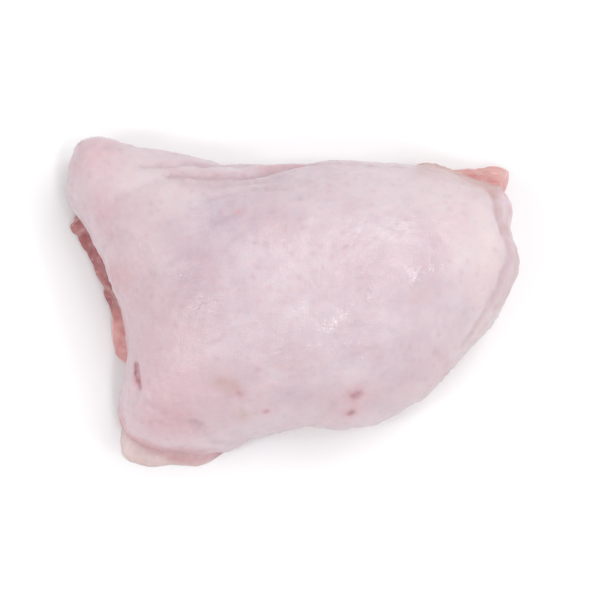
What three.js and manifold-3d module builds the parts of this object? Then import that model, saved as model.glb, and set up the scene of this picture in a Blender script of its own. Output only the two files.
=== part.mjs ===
// A raw chicken thigh, bone in and skin on, lying skin side up on its flat underside.
// Millimetres, +Z up. X runs along the thigh from the hip end to the knee, +Y is its far
// side, and the origin is on the floor under the middle of its bounding box.
import * as THREE from "three";
import Module from "manifold-3d";

const wasm = await Module();
wasm.setup();

// Driving dimensions
const HEIGHT = 41; // the dome above the floor, before its swells
const GIRTH = 10.5; // the height at which the body is widest
const GIRTH_LOBE = 7; // and at the thin hip corner
const FULLNESS = 0.42; // how fast the dome rises from the girth: less is squarer
const TUCK = 8; // how far the foot is drawn in below the girth
const CROWN = new THREE.Vector2(3, -5); // where the columns of the surface meet
const SKIN_THICK = 2.2;
const GAP = 0.3; // left between the skin and the flesh
const FLAP_THICK = 4.2; // the skin and fat of the loose flap
const FLAP_WIDTH = 5.6;
const FLAP_DROOP = 0.85; // 1 brings the flap's edge down to the floor

// Grid of the surfaces
const COLUMNS = 72; // round the outline
const DOME_ROWS = 10; // from the crown to the shoulder
const HEM_ROWS = 6; // from the shoulder to the hem
const FOOT_ROWS = 6; // of the flesh, from the hem to the floor
const BASE_ROWS = 3; // of the flat underside
const SHOULDER = 0.9; // the station where the rows begin to follow the hem
const FINEST = 0.01; // detail below this is dropped from the flesh

// The body's outline at its girth, clockwise from the hip corner.
const OUTLINE = [
  [-63.6, 37], [-61.3, 43.8], [-55.5, 46.5], [-46, 43.8], [-34, 41.3], [-22, 38.2], [-8, 37.3],
  [12, 38.2], [30, 37.4], [41, 36], [49, 33], [59.3, 29.5], [62, 24.5], [61.3, 17], [63.4, 8],
  [59.5, -1], [54, -10], [45.5, -18.5], [36, -28.3], [26, -34.5], [16, -37.4], [0, -37.3],
  [-10, -39.2], [-20, -40.8], [-30, -41.4], [-40, -40.2], [-46.5, -36], [-48.8, -27.5],
  [-47.6, -17], [-48.4, -8], [-52.5, 5], [-58, 17.5], [-62.8, 28],
];
const WALL_SEGMENTS = 144; // straight pieces of the outline, for the distances to it
const NEAREST = 3e-4; // the least distance to the line of a piece
const SIDE_STEP = 0.004; // of the way round the outline, to find its direction

// Broad swells of the dome: place, rise and reach. They fade out towards the outline.
const SWELLS = [
  { x: -52, y: 34, rise: -9, reach: 20 }, // the hip corner lies low
  { x: -14, y: 38, rise: -5, reach: 13 }, // the dip beside it
  { x: 56, y: 24, rise: -5, reach: 18 }, // the knee corner falls away
  { x: -40, y: -32, rise: -6, reach: 17 }, // down to the flap
  { x: 26, y: -8, rise: 2, reach: 24 }, // the bulk of the muscle
];

// Creases where the skin gathers along the far side: ends, depth and half width.
const CREASES = [
  { from: [-38, 32.5], to: [2, 35.5], depth: 1.4, width: 1.8 },
  { from: [-30, 27], to: [-8, 30.5], depth: 0.9, width: 1.8 },
];

// Stretches of the outline, as segments in plan with the reach of their ends.
const FLAP_ROOT = { from: [-45, -38], to: [-27, -41.4] };
const FLAP = { ...FLAP_ROOT, full: 2.5, none: 8 };
const FLAP_HEM = { ...FLAP_ROOT, full: 8, none: 16 }; // where the hem comes up to the flap
const FLAP_SLOPE = { ...FLAP_ROOT, full: 4, none: 34 }; // where the girth comes down to it
const LOBE = { from: [-61, 42], to: [-58, 45], full: 5, none: 32 };
const BARE_KNEE = { from: [36, 37], to: [55, 32], full: 3, none: 16 };
const BARE_SIDE = { from: [-60, 22], to: [-49, -9], full: 4, none: 15 };

// Where the skin ends, as a station down the surface: 1 is the girth, 2 is the floor line,
// and past 2 it is tucked under the body.
const HEM = 2.22;
const HEM_FLAP = 2;
const HEM_KNEE = 0.98;
const HEM_SIDE = 1.3;
const HEM_UNDER_FLAP = 1; // of the flesh, below the flap
const FOOT_END = 2.4; // where the flesh has reached the floor
const CREASE_END = 1.5; // the creases stop before the floor

// How far the bare flesh swells out sideways below the skin's hem.
const KNEE_BULGE = 13;
const SIDE_BULGE = 6.5;

const smooth = (t) => {
  const x = THREE.MathUtils.clamp(t, 0, 1);
  return x * x * (3 - 2 * x);
};
const mix = THREE.MathUtils.lerp;

function distanceToSegment(p, from, to) {
  const a = new THREE.Vector2(...from);
  const along = new THREE.Vector2(...to).sub(a);
  const t = THREE.MathUtils.clamp(p.clone().sub(a).dot(along) / along.lengthSq(), 0, 1);
  return p.distanceTo(a.add(along.multiplyScalar(t)));
}

// 1 on a stretch of the outline, falling smoothly to 0 at its ends.
function onStretch(p, stretch) {
  const d = distanceToSegment(p, stretch.from, stretch.to);
  return 1 - smooth((d - stretch.full) / (stretch.none - stretch.full));
}

const outline = new THREE.CatmullRomCurve3(
  OUTLINE.map(([x, y]) => new THREE.Vector3(x, y, 0)), true, "centripetal",
);
outline.arcLengthDivisions = 2000;

function edgeAt(s) {
  const p = outline.getPointAt(((s % 1) + 1) % 1);
  return new THREE.Vector2(p.x, p.y);
}

function outwardAt(s) {
  const along = edgeAt(s + SIDE_STEP).sub(edgeAt(s - SIDE_STEP)).normalize();
  return new THREE.Vector2(-along.y, along.x);
}

// Distance to the outline, but smooth inside: the inverse cubes of the distances to all of
// it are summed, each straight segment in closed form.
const wall = Array.from({ length: WALL_SEGMENTS }, (_, i) => edgeAt(i / WALL_SEGMENTS));

function depthInside(p) {
  let sum = 0;
  wall.forEach((a, i) => {
    const b = wall[(i + 1) % WALL_SEGMENTS];
    const length = a.distanceTo(b);
    const t0 = ((a.x - p.x) * (b.x - a.x) + (a.y - p.y) * (b.y - a.y)) / length;
    const off = ((a.x - p.x) * (b.y - a.y) - (a.y - p.y) * (b.x - a.x)) / length;
    const d = Math.max(off * off, NEAREST ** 2);
    const t1 = t0 + length;
    sum += (t1 / Math.sqrt(t1 * t1 + d) - t0 / Math.sqrt(t0 * t0 + d)) / d;
  });
  return Math.sqrt(2 / sum);
}
const depthAtCrown = depthInside(CROWN);

const swellAt = (p) =>
  SWELLS.reduce((sum, w) => {
    const d = Math.hypot(p.x - w.x, p.y - w.y) / w.reach;
    return sum + w.rise * Math.exp(-d * d);
  }, 0);

const creaseAt = (p) =>
  CREASES.reduce((sum, c) => {
    const d = distanceToSegment(p, c.from, c.to) / c.width;
    return sum - c.depth * Math.exp(-d * d);
  }, 0);

// The surface at station u down the section and s round the outline: 0 to 1 is the dome,
// 1 to 2 goes under to the floor, and 2 to 3 is the flat underside. With a brim, the flap
// runs outward from the girth in place of the tuck.
function sectionPoint(u, s, brim) {
  const edge = edgeAt(s);
  const flap = onStretch(edge, FLAP);
  const girth = mix(GIRTH, GIRTH_LOBE, onStretch(edge, LOBE));
  const waist = mix(girth, FLAP_THICK, onStretch(edge, FLAP_SLOPE));
  if (u <= 1) {
    const plan = CROWN.clone().lerp(edge, Math.sin((u * Math.PI) / 2));
    const share = u === 1 ? 0 : (depthInside(plan) / depthAtCrown) ** FULLNESS;
    return new THREE.Vector3(plan.x, plan.y, mix(waist, HEIGHT + swellAt(plan), share));
  }
  const outward = outwardAt(s);
  const tuck = (TUCK * waist) / GIRTH;
  if (u > 2) {
    const plan = edge.addScaledVector(outward, -tuck).lerp(CROWN, u - 2);
    return new THREE.Vector3(plan.x, plan.y, 0);
  }
  const a = ((u - 1) * Math.PI) / 2;
  const under = edge.clone().addScaledVector(outward, tuck * (Math.cos(a) - 1));
  const low = new THREE.Vector3(under.x, under.y, waist * (1 - Math.sin(a)));
  if (!brim) return low;
  const tip = edge.addScaledVector(outward, FLAP_WIDTH * (u - 1));
  const rise = FLAP_THICK * Math.sqrt(1 - (FLAP_DROOP * (u - 1)) ** 2);
  return low.lerp(new THREE.Vector3(tip.x, tip.y, rise), flap);
}

// The outward normal there. Its difference along u stays inside one of the three sections.
function normalAt(u, s, brim) {
  if (u === 0) return new THREE.Vector3(0, 0, 1);
  const du = 0.01;
  const ds = 0.002;
  const section = Math.max(Math.ceil(u) - 1, 0);
  const from = Math.max(u - du, section + 0.001);
  const to = Math.min(u + du, section + 1);
  const down = sectionPoint(to, s, brim).sub(sectionPoint(from, s, brim));
  const round = sectionPoint(u, s + ds, brim).sub(sectionPoint(u, s - ds, brim));
  return down.cross(round).normalize().negate();
}

// The surface moved out by an offset, kept on or above the floor.
function surface(u, s, offset = 0, brim = true) {
  const p = sectionPoint(u, s, brim);
  const moved = offset + (u < CREASE_END ? creaseAt(new THREE.Vector2(p.x, p.y)) : 0);
  p.addScaledVector(normalAt(u, s, brim), moved);
  p.z = Math.max(p.z, 0);
  return p;
}

// The skin's inner side. The flap is solid down to the floor.
function innerSurface(u, s) {
  const p = surface(u, s, -SKIN_THICK);
  const top = sectionPoint(u, s, true);
  const solid = onStretch(edgeAt(s), FLAP) * smooth((u - SHOULDER) / (1 - SHOULDER));
  return p.lerp(new THREE.Vector3(top.x, top.y, 0), solid);
}

// Where the skin ends round the outline, and the flesh under it.
function hemBeside(s, flap, atFlap) {
  const edge = edgeAt(s);
  let hem = mix(HEM, HEM_KNEE, onStretch(edge, BARE_KNEE));
  hem = mix(hem, HEM_SIDE, onStretch(edge, BARE_SIDE));
  return mix(hem, atFlap, onStretch(edge, flap));
}
const hemAt = (s) => hemBeside(s, FLAP_HEM, HEM_FLAP);
const fleshHemAt = (s) => hemBeside(s, FLAP, HEM_UNDER_FLAP);

// Stations of the rings from the crown to a hem, which may differ round the outline.
const rowsTo = (hem) =>
  Array.from({ length: DOME_ROWS + HEM_ROWS }, (_, i) => (s) =>
    i < DOME_ROWS ? (SHOULDER * (i + 1)) / DOME_ROWS
      : mix(SHOULDER, hem(s), (i + 1 - DOME_ROWS) / HEM_ROWS));

const columns = Array.from({ length: COLUMNS }, (_, c) => c / COLUMNS);

// A closed mesh from rings of points. The first and last rings are single points.
function closedMesh(rings) {
  const positions = [];
  const starts = rings.map((ring) => {
    const start = positions.length / 3;
    ring.forEach((p) => positions.push(p.x, p.y, p.z));
    return start;
  });
  const index = [];
  for (let r = 0; r + 1 < rings.length; r++) {
    for (let c = 0; c < COLUMNS; c++) {
      const next = (c + 1) % COLUMNS;
      const [a0, a1] = [c, next].map((i) => starts[r] + (rings[r].length > 1 ? i : 0));
      const [b0, b1] = [c, next].map((i) => starts[r + 1] + (rings[r + 1].length > 1 ? i : 0));
      if (a0 !== a1) index.push(a0, a1, b0);
      if (b0 !== b1) index.push(a1, b1, b0);
    }
  }
  const geometry = new THREE.BufferGeometry();
  geometry.setAttribute("position", new THREE.Float32BufferAttribute(positions, 3));
  geometry.setIndex(index);
  return geometry;
}

// The skin is a sheet from the crown to its hem.
function skinGeometry() {
  const outer = [[surface(0, 0)]];
  const inner = [[surface(0, 0, -SKIN_THICK)]];
  for (const station of rowsTo(hemAt)) {
    outer.push(columns.map((s) => surface(station(s), s)));
    inner.push(columns.map((s) => innerSurface(station(s), s)));
  }
  return closedMesh([...outer, ...inner.reverse()]);
}

// A mesh with every vertex moved out along its normal.
function grown(geometry, by) {
  geometry.computeVertexNormals();
  const { position, normal } = geometry.attributes;
  position.array.forEach((value, i) => {
    position.array[i] = value + by * normal.array[i];
  });
  return geometry;
}

// The body reaches halfway into the skin, swells out past its hem where it is bare, and is
// flat below.
function bodyGeometry() {
  const depth = SKIN_THICK / 2;
  const rings = [[surface(0, 0, -depth)]];
  for (const station of rowsTo(fleshHemAt))
    rings.push(columns.map((s) => surface(station(s), s, -depth, false)));
  for (let r = 1; r <= FOOT_ROWS; r++) {
    const share = r / FOOT_ROWS;
    rings.push(columns.map((s) => {
      const edge = edgeAt(s);
      const bulge = KNEE_BULGE * onStretch(edge, BARE_KNEE) + SIDE_BULGE * onStretch(edge, BARE_SIDE);
      const out = outwardAt(s).multiplyScalar(bulge * Math.sin(Math.PI * share));
      const p = surface(mix(fleshHemAt(s), FOOT_END, share), s, -depth * (1 - smooth(share)), false);
      return p.add(new THREE.Vector3(out.x, out.y, 0));
    }));
  }
  for (let r = 1; r < BASE_ROWS; r++)
    rings.push(columns.map((s) => surface(mix(FOOT_END, 3, r / BASE_ROWS), s, 0, false)));
  rings.push([surface(3, 0, 0, false)]);
  return closedMesh(rings);
}

function toManifold(geometry) {
  return new wasm.Manifold(new wasm.Mesh({
    numProp: 3,
    vertProperties: geometry.attributes.position.array,
    triVerts: Uint32Array.from(geometry.index.array),
  }));
}

function toGeometry(manifold) {
  const mesh = manifold.getMesh();
  const geometry = new THREE.BufferGeometry();
  geometry.setAttribute("position", new THREE.BufferAttribute(mesh.vertProperties, 3));
  geometry.setIndex(new THREE.BufferAttribute(mesh.triVerts, 1));
  return geometry;
}

// The flesh is the body less the skin with its gap, without the crumbs of the cut.
function fleshGeometry() {
  const room = toManifold(skinGeometry()).add(toManifold(grown(skinGeometry(), GAP)));
  const cut = toManifold(bodyGeometry()).subtract(room).simplify(FINEST);
  const [largest] = cut.decompose().sort((a, b) => b.volume() - a.volume());
  return toGeometry(largest);
}

const fleshMaterial = new THREE.MeshStandardMaterial({
  color: new THREE.Color(0.82, 0.52, 0.5), roughness: 0.35, metalness: 0,
});
const skinMaterial = new THREE.MeshStandardMaterial({
  color: new THREE.Color(0.87, 0.79, 0.81), roughness: 0.4, metalness: 0,
});

const thigh = new THREE.Group();
thigh.name = "raw chicken thigh";
for (const [name, geometry, material] of [
  ["flesh", fleshGeometry(), fleshMaterial],
  ["skin", skinGeometry(), skinMaterial],
]) {
  geometry.computeVertexNormals();
  const mesh = new THREE.Mesh(geometry, material);
  mesh.name = name;
  thigh.add(mesh);
}

// The bounding box's middle comes over the origin, and its underside to the floor.
const box = new THREE.Box3().setFromObject(thigh);
const middle = box.getCenter(new THREE.Vector3());
for (const mesh of thigh.children) mesh.geometry.translate(-middle.x, -middle.y, -box.min.z);

export default thigh;
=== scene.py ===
# %% [markdown]
# # A raw chicken thigh
# A thigh is two things that behave differently under the light. Inside is flesh: wet, pink
# and fibrous. Around it is a sheet of pale skin that is a little see-through, and shows what
# lies under it. The part's solids give the form of both. Here each is made again as a fine
# mesh with the small forms that the light needs, and gets a material of its own.
#
# Everything is in metres in the part's own frame: X runs from the hip end to the knee, Y to
# the far side, Z up. The tables below are in millimetres, because a cut of meat is easier to
# think of in millimetres, and `MM` turns them into metres at the end.

# %% Load the part
import math

import bpy
import numpy as np
from mathutils import Matrix, Vector, noise


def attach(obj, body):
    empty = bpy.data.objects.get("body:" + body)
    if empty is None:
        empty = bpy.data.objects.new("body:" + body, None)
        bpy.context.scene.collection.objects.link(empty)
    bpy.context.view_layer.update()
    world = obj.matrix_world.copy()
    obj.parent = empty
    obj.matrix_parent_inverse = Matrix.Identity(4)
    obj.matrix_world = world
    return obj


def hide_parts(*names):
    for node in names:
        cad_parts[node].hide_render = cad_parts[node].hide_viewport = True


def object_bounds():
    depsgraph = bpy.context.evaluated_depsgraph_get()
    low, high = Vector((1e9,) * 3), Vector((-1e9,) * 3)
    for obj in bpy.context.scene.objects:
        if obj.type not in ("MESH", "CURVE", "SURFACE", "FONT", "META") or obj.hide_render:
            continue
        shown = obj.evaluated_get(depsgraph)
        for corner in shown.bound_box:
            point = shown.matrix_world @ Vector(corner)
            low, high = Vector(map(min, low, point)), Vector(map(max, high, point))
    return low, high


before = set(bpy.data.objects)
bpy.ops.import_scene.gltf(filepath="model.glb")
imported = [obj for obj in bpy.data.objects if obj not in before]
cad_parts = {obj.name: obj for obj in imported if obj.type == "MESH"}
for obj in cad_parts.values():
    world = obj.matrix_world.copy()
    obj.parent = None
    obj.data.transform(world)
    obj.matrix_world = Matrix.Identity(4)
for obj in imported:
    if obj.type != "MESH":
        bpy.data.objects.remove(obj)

MM = 0.001
part_box = [list(corner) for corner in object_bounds()]
print("part box, mm:", [[round(v / MM, 1) for v in corner] for corner in part_box])

# %% [markdown]
# ## Camera
# The photograph was taken from above with a slight tilt, and the thigh lay off the middle of
# the picture, so it was seen a little from its hip end and from the near side. The camera
# stays at that spot and keeps its upright, but turns to the thigh and uses a long lens. That
# keeps the same sides in view in the same perspective, only larger.

# %% Camera at the photograph's viewpoint
EYE = Vector((-57.4, -116.5, 571.6)) * MM
AIM = Vector((0.5, -1.5, 14.0)) * MM
TILT = math.radians(15)
LENS, SENSOR = 124, 36

level = Matrix((
    (1, 0, 0),
    (0, math.cos(TILT), -math.sin(TILT)),
    (0, math.sin(TILT), math.cos(TILT)),
))
first_look = level @ Vector((0, 0, -1))
turn = first_look.rotation_difference(AIM - EYE).to_matrix()
camera_data = bpy.data.cameras.new("camera")
camera_data.lens = LENS
camera_data.sensor_width = SENSOR
camera = bpy.data.objects.new("camera", camera_data)
camera.matrix_world = Matrix.Translation(EYE) @ (turn @ level).to_4x4()
bpy.context.scene.collection.objects.link(camera)
bpy.context.scene.camera = camera
print("camera distance, mm:", round((AIM - EYE).length / MM))

# %% [markdown]
# ## The outline
# Seen from above, the thigh has a drawn-out corner at the hip, a nearly straight far edge and
# a round near edge. A handful of points round it, joined by a smooth curve, describe it. The
# curve is a centripetal Catmull-Rom curve, which passes through every point and never loops.
# It is stepped evenly by length, so that the mesh's columns are evenly spaced.

# %% A smooth closed curve through the outline's points
OUTLINE = np.array([
    [-63.6, 37], [-61.3, 43.8], [-55.5, 46.5], [-46, 43.8], [-34, 41.3], [-22, 38.2],
    [-8, 37.3], [12, 38.2], [30, 37.4], [41, 36], [49, 33], [59.3, 29.5], [62, 24.5],
    [61.3, 17.5], [63.1, 11.6], [63, 6.5], [59.4, -1], [54, -10], [45.5, -18.5],
    [36, -28.3], [26, -34.5], [16, -37.4], [0, -37.3], [-10, -39.2], [-20, -40.8],
    [-30, -41.4], [-40, -40.2], [-46.5, -36], [-48.8, -27.5], [-47.6, -17], [-48.4, -8],
    [-52.5, 5], [-58, 17.5], [-62.8, 28],
])
MIDDLE = np.array([0.06, -0.33])


def curve_at(t):
    step = t * len(OUTLINE)
    i = np.floor(step).astype(int)
    w = (step - i)[:, None]
    a, b, c, d = (OUTLINE[(i + k) % len(OUTLINE)] for k in (-1, 0, 1, 2))
    ab, bc, cd = (np.sqrt(np.linalg.norm(q - p, axis=1))[:, None]
                  for p, q in ((a, b), (b, c), (c, d)))
    leave = ((b - a) / ab - (c - a) / (ab + bc) + (c - b) / bc) * bc
    arrive = ((c - b) / bc - (d - b) / (bc + cd) + (d - c) / cd) * bc
    return (b + leave * w + (3 * (c - b) - 2 * leave - arrive) * w ** 2
            + (2 * (b - c) + leave + arrive) * w ** 3)


print("outline:", len(OUTLINE), "points")

# %% Even steps round the outline, and the way out
walk = np.linspace(0, 1, 2001)
steps = np.linalg.norm(np.diff(curve_at(walk), axis=0), axis=1)
reached = np.concatenate([[0], np.cumsum(steps)])


def edge_at(s):
    return curve_at(np.interp(s % 1, reached / reached[-1], walk))


def outward_at(s, reach=0.03):
    """Which way is out at a point of the outline, judged over a long stretch of it."""
    along = edge_at(s + reach) - edge_at(s - reach)
    along /= np.linalg.norm(along, axis=1)[:, None]
    return np.stack([-along[:, 1], along[:, 0]], axis=1)


print("round the outline, mm:", round(reached[-1]))

# %% [markdown]
# ## The dome
# How high is the meat at a point? It is high far from the outline and low near it. The plain
# distance to the outline would leave a sharp ridge down the middle, so the whole outline is
# added up instead, with near pieces counting much more than far ones: the inverse cube of the
# distance, which has a closed form for a straight piece. What comes out is the distance near
# the edge and a smooth hill inside. A power of it gives the round shoulder. The outline is cut
# into as many straight pieces as the mesh has columns, so that all columns meet it alike.

# %% A smooth distance to the outline
COLUMNS = 520
NEVER_ZERO = 1e-7
columns = np.arange(COLUMNS) / COLUMNS
wall_from = edge_at(columns)
wall_to = np.roll(wall_from, -1, axis=0)
wall_length = np.linalg.norm(wall_to - wall_from, axis=1)
wall_along = (wall_to - wall_from) / wall_length[:, None]


def depth_inside(p):
    away = wall_from - p[:, None]
    start = (away * wall_along).sum(axis=2)
    off = away[..., 0] * wall_along[:, 1] - away[..., 1] * wall_along[:, 0]
    off2 = np.maximum(off ** 2, NEVER_ZERO)
    end = start + wall_length
    pull = (end / np.sqrt(end ** 2 + off2) - start / np.sqrt(start ** 2 + off2)) / off2
    return np.sqrt(2 / pull.sum(axis=1))


CROWN = np.array([3.0, -5.0])
crown_depth = depth_inside(CROWN[None])[0]
print("depth at the crown, mm:", round(float(crown_depth), 1))

# %% [markdown]
# ## Soft weights
# Most features hold along a stretch of the outline and fade out at its ends: the flap, the
# bare flesh at the knee, the low hip corner. Each stretch is a line in plan, with the distance
# at which it is still full and the distance at which it is gone.

# %% Weights along stretches of the outline
FLAP_ROOT = ([-45, -38], [-27, -41.4])
FLAP_SLOPE = (*FLAP_ROOT, 4, 34)
LOBE = ([-61, 42], [-58, 45], 5, 32)
BARE_KNEE = ([40, 36.5], [55, 32], 3, 14)
BARE_SIDE = ([-60.8, 24], [-49, -10], 4, 14)
SIDE_SWELL = ([-58, 17.5], [-49, -10], 4, 14)
print("bare at the knee and the side, mm:",
      [round(math.dist(a, b)) for a, b, *_ in (BARE_KNEE, BARE_SIDE)])


# %% How a weight fades
def smooth(t):
    t = np.clip(t, 0, 1)
    return t * t * (3 - 2 * t)


def mix(a, b, t):
    return a + (b - a) * t


def distance_to_line(p, start, end):
    start, along = np.array(start, float), np.array(end, float) - start
    t = np.clip(((p - start) @ along) / (along @ along), 0, 1)
    return np.linalg.norm(p - start - t[..., None] * along, axis=-1)


def on_stretch(p, stretch):
    start, end, full, none = stretch
    return 1 - smooth((distance_to_line(p, start, end) - full) / (none - full))


print("flap weight at its root:", on_stretch(np.array([[-36.0, -40.0]]), FLAP_SLOPE))

# %% [markdown]
# ## One section, swept round
# The surface is described by two numbers: `s` goes round the outline, and `u` goes down the
# section. From 0 to 1 it is the dome, from 1 to 2 the side that draws in to the floor, and
# from 2 to 3 the flat underside. The side draws in along a direction that is judged over a
# long stretch of the outline, because at a tight corner the plain direction would fan out so
# fast that neighbouring columns would cross.

# %% The section
HEIGHT, GIRTH, GIRTH_LOBE, TUCK = 41, 10.5, 7, 8
FLAP_THICK = 4.2
FULLNESS = 0.42
SWELLS = [
    (-52, 34, -9, 20), (-14, 38, -5, 13), (56, 24, -5, 18), (-40, -32, -6, 17), (26, -8, 2, 24),
]


def swell_at(p):
    return sum(rise * np.exp(-((p[:, 0] - x) ** 2 + (p[:, 1] - y) ** 2) / reach ** 2)
               for x, y, rise, reach in SWELLS)


print("swells and dips of the dome:", len(SWELLS))


# %% A point at each station of the section
def section(u, s):
    edge, outward = edge_at(s), outward_at(s)
    waist = mix(mix(GIRTH, GIRTH_LOBE, on_stretch(edge, LOBE)), FLAP_THICK,
                on_stretch(edge, FLAP_SLOPE))
    tuck = (TUCK * waist / GIRTH)[:, None]
    dome_plan = mix(CROWN, edge, np.sin(np.minimum(u, 1) * math.pi / 2)[:, None])
    to_edge = np.linalg.norm(edge - dome_plan, axis=1)
    share = (np.minimum(depth_inside(dome_plan), to_edge) / crown_depth) ** FULLNESS
    dome = np.column_stack([dome_plan, mix(waist, HEIGHT + swell_at(dome_plan), share)])
    turn_in = np.clip(u - 1, 0, 1)[:, None]
    angle = turn_in * math.pi / 2
    low = np.column_stack([edge + outward * tuck * (np.cos(angle) - 1),
                           waist * (1 - np.sin(angle[:, 0]))])
    under_plan = mix(edge - outward * tuck, CROWN, np.clip(u - 2, 0, 1)[:, None])
    under = np.column_stack([under_plan, np.zeros(len(s))])
    return np.where((u <= 1)[:, None], dome, np.where((u <= 2)[:, None], low, under))


top = section(np.array([0.0]), np.array([0.0]))[0]
print("crown, mm:", top.round(1))

# %% [markdown]
# ## Grids and their normals
# A grid of points, ring under ring, is easy to shape: each small form is a push along the
# surface's own direction. The normal of a grid point is at right angles to its row and to
# its column.

# %% Grids
def grid_of(stations):
    return np.stack([section(u, columns) for u in stations])


def normals_of(grid):
    down = np.gradient(grid, axis=0)
    around = np.roll(grid, -1, axis=1) - np.roll(grid, 1, axis=1)
    normal = np.cross(around, down)
    return normal / np.maximum(np.linalg.norm(normal, axis=2), 1e-9)[..., None]


def noise_on(points, size, octaves=1, seed=0):
    """Smooth noise at points in mm, with features of that size, about -1 to 1."""
    shift = Vector((seed * 17.3, seed * 5.1, seed * 9.7))
    flat = (noise.fractal(Vector(p) / size + shift, 1.0, 2.0, octaves)
            for p in points.reshape(-1, 3))
    return np.fromiter(flat, float, points.size // 3).reshape(points.shape[:-1])


print("columns:", COLUMNS, "or one every", round(reached[-1] / COLUMNS, 2), "mm")

# %% [markdown]
# ## Where the skin ends
# Someone cut this skin with a knife, so its hem wanders a little. It is tucked under most of
# the thigh, stops at the girth round the knee, where the flesh is bare, and comes up a little
# along the side where the hip joint was.

# %% The hem
HEM, HEM_KNEE, HEM_SIDE, FOOT_END = 2.22, 0.98, 1.3, 2.4
edge = edge_at(columns)
at_knee, at_side = on_stretch(edge, BARE_KNEE), on_stretch(edge, BARE_SIDE)
hem_plan = mix(mix(HEM, HEM_KNEE, at_knee), HEM_SIDE, at_side)
ring_line = np.column_stack([edge, np.zeros(COLUMNS)])
ragged = 0.035 + 0.05 * at_side + 0.02 * at_knee
skin_hem = hem_plan + ragged * noise_on(ring_line, 7, 3, seed=1)
print("hem stations from", skin_hem.min().round(2), "to", skin_hem.max().round(2))

# %% [markdown]
# ## The skin's relief
# Skin lies over the meat like a wet cloth. Broad soft lumps show the fat and muscle below it.
# Creases run where it gathers, mostly along the far side, and a shallow furrow runs inside
# the right-hand margin, where the meat ends and only skin goes on. Low on the sides it is
# loose and hangs in short upright gathers. All of it is one number for each point, how far
# the point is pushed out along its normal, so that every form can be judged in millimetres. A
# crease is a path, how deep it is and how wide; a hollow is a spot, a depth and a reach.

# %% Creases, furrows and hollows
CREASES = [
    ([[-35, 31.2], [-27, 30.4], [-18, 30.6], [-9, 32.6], [3, 36]], 1.6, 1.9),
    ([[-31, 27], [-20, 27.8], [-7, 29.5]], 0.8, 1.9),
    ([[-44, 34.5], [-34, 34.5], [-24, 35.6], [-14, 36.2]], 0.9, 1.5),
    ([[-24, 23], [-14, 25.5], [-4, 26]], 0.5, 1.6),
    ([[-50, 25], [-41, 28.5], [-33, 29]], 0.6, 1.7),
    ([[4, 34.5], [16, 35], [28, 34]], 0.6, 1.3),
    ([[-50, 15], [-44, 8], [-41, 1]], 0.35, 2.2),
    ([[-51.5, 22], [-44, 17], [-38, 15]], 0.3, 2.0),
    ([[-43, -31], [-37, -35], [-28, -37.5]], 0.5, 1.3),
    ([[-45, -20.5], [-44.3, -27.2]], 0.8, 0.8),
    ([[54.2, 26.5], [55, 20.4], [56.3, 15.8], [57.4, 12], [57.7, 7.8], [56.4, 3.6],
      [54.4, -1.8], [51.5, -6.8], [48.8, -11.3], [45.2, -16]], 1.0, 1.5),
    ([[46, -5], [41, -13], [36, -19]], 0.25, 2.2),
    ([[0, 35.2], [8, 38.5, 13], [15, 38, 6], [18, 34, 1]], 0.8, 1.6),
    ([[-26, 35], [-19, 38.5, 15], [-12, 38, 8], [-9, 34, 1]], 0.8, 1.7),
    ([[20, 35], [29, 38, 14], [33, 36.5, 5]], 0.6, 1.4),
    ([[-52, 40], [-44, 44, 14], [-38, 42, 6]], 0.6, 1.5),
    ([[-30, -37], [-20, -41, 9], [-10, -37, 2]], 0.7, 1.5),
    ([[8, -33], [3, -37.5, 10], [-3, -35, 2]], 0.6, 1.4),
    ([[36, -20], [41, -22.5, 12], [44, -17, 2]], 0.6, 1.5),
    ([[-52, 14], [-55, 11, 12], [-53, 6, 8]], 0.5, 1.4),
]
HOLLOWS = [
    (-22, 19, 0.8, 7), (15, 14, 0.4, 10), (-34, -6, 0.55, 9), (36, 8, 0.4, 9),
    (2, -24, 0.35, 9), (-52, 33, 0.6, 6),
]
print("creases:", len(CREASES), "hollows:", len(HOLLOWS))


# %% Where a crease or a hollow lies on the surface
def distance_to_path(p, path):
    return np.min([distance_to_line(p, a, b) for a, b in zip(path[:-1], path[1:])], axis=0)


def wandering(points, amount, size, seed):
    """The points, shifted a little from place to place, so that no line runs true."""
    shift = [noise_on(points, size, 2, seed + k) for k in range(3)]
    return points + amount * np.stack(shift, axis=-1)


def on_surface(spot, grid, u):
    """The grid point nearest to a spot: above it where the spot is given in plan."""
    near = grid[u <= 1.03] if len(spot) == 2 else grid.reshape(-1, 3)
    away = near[:, :len(spot)] - spot
    return near[np.argmin((away ** 2).sum(axis=1))]


print("ready to place", len(CREASES) + len(HOLLOWS), "forms")

# %% [markdown]
# ## Follicles
# Feathers grew here, about three millimetres apart and roughly in rows. Each left a low mound.
# They sit on the skin, so their pattern has to be laid out on the sheet itself. The sheet is
# spread flat from the crown: each point keeps its direction from the crown, and its distance
# along the surface, as the globe is drawn on a round map from its pole. On that map there is
# one follicle in each cell of a grid, moved off the cell's middle by a fixed scramble of the
# cell's numbers. Some are stronger than others, because no two feathers were alike. What is
# needed is the distance to the nearest one, and its strength.

# %% Spread the skin flat and find the nearest follicle
FOLLICLE_STEP = 3.0


def spread_flat(grid):
    strides = np.linalg.norm(np.diff(grid, axis=0, prepend=grid[:1] * 0 + top), axis=2)
    heading = (edge - CROWN) / np.linalg.norm(edge - CROWN, axis=1)[:, None]
    return CROWN + np.cumsum(strides, axis=0)[..., None] * heading


def scramble(cell, seed):
    turned = np.sin(cell[..., 0] * 127.1 + cell[..., 1] * 311.7 + seed * 74.7) * 4375.8
    return turned - np.floor(turned) - 0.5


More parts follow.
